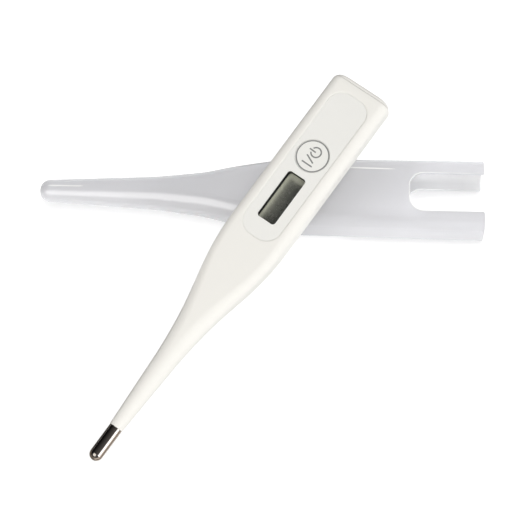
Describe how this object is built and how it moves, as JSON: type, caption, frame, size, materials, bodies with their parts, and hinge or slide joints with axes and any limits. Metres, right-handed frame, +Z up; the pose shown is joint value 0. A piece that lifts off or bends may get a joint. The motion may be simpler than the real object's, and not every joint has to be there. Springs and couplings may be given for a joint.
{
  "type": "digital thermometer",
  "caption": "Pencil-type digital thermometer with a steel tip, small recessed display, press button and pull-off battery cover, lying across its own translucent slide-on case.",
  "frame": {"origin": "middle of the footprint of thermometer and case together, on the surface they lie on", "axes": "+X along the storage case from its closed tip to its open end, +Z up, +Y across the case"},
  "size_m": [0.1308, 0.1119, 0.0293],
  "materials": {
    "white_plastic": "smooth glossy moulded ABS",
    "label_film": "satin printed film",
    "key_plastic": "satin moulded",
    "probe_steel": "polished stainless steel",
    "case_plastic": "translucent frosted polypropylene",
    "black_plastic": "matte moulded",
    "clear_window": "clear, polished",
    "lcd_film": "satin polariser film",
    "lcd_glass": "clear glass cell",
    "lcd_back": "satin reflector film",
    "elastomer": "silicone strip",
    "frame_plastic": "satin moulded",
    "board": "solder mask over glass fibre",
    "chip_resin": "cast resin",
    "components": "ceramic bodies with tinned ends",
    "spring_steel": "plated spring steel",
    "cell_steel": "plated steel can",
    "brass": "rolled",
    "ceramic": "fired ceramic",
    "potting": "cast resin",
    "bead": "coated bead",
    "lead_wire": "enamelled copper"
  },
  "bodies": {
    "storage_case": {"storage_case": "case_plastic"},
    "thermometer": {"housing": "white_plastic", "front_label": "label_film", "probe_tip": "probe_steel", "display_bezel": "black_plastic", "display_window": "clear_window", "lcd_polariser": "lcd_film", "lcd_panel": "lcd_glass", "lcd_reflector": "lcd_back", "zebra_connector": "elastomer", "inner_frame": "frame_plastic", "circuit_board": "board", "controller_chip": "chip_resin", "board_components": "components", "switch_dome": "spring_steel", "battery_contact_positive": "spring_steel", "battery_contact_negative": "spring_steel", "battery_cell": "cell_steel", "buzzer_plate": "brass", "buzzer_ceramic": "ceramic", "tip_potting": "potting", "thermistor_bead": "bead", "thermistor_leads": "lead_wire"},
    "power_button": {"power_button": "key_plastic", "button_film": "label_film"},
    "battery_cover": {"battery_cover": "white_plastic"}
  },
  "joints": [
    {"name": "thermometer_lift", "type": "slide", "parent": "storage_case", "child": "thermometer", "axis": [0, 0, 1], "range_m": [0, 0.06]},
    {"name": "power_button_press", "type": "slide", "parent": "thermometer", "child": "power_button", "axis": [0.1015, 0.1445, -0.9843], "range_m": [0, 0.00035], "stiffness_N_per_m": 1500},
    {"name": "battery_cover_pull", "type": "slide", "parent": "thermometer", "child": "battery_cover", "axis": [0.566, 0.8053, 0.1766], "range_m": [0, 0.014]}
  ]
}
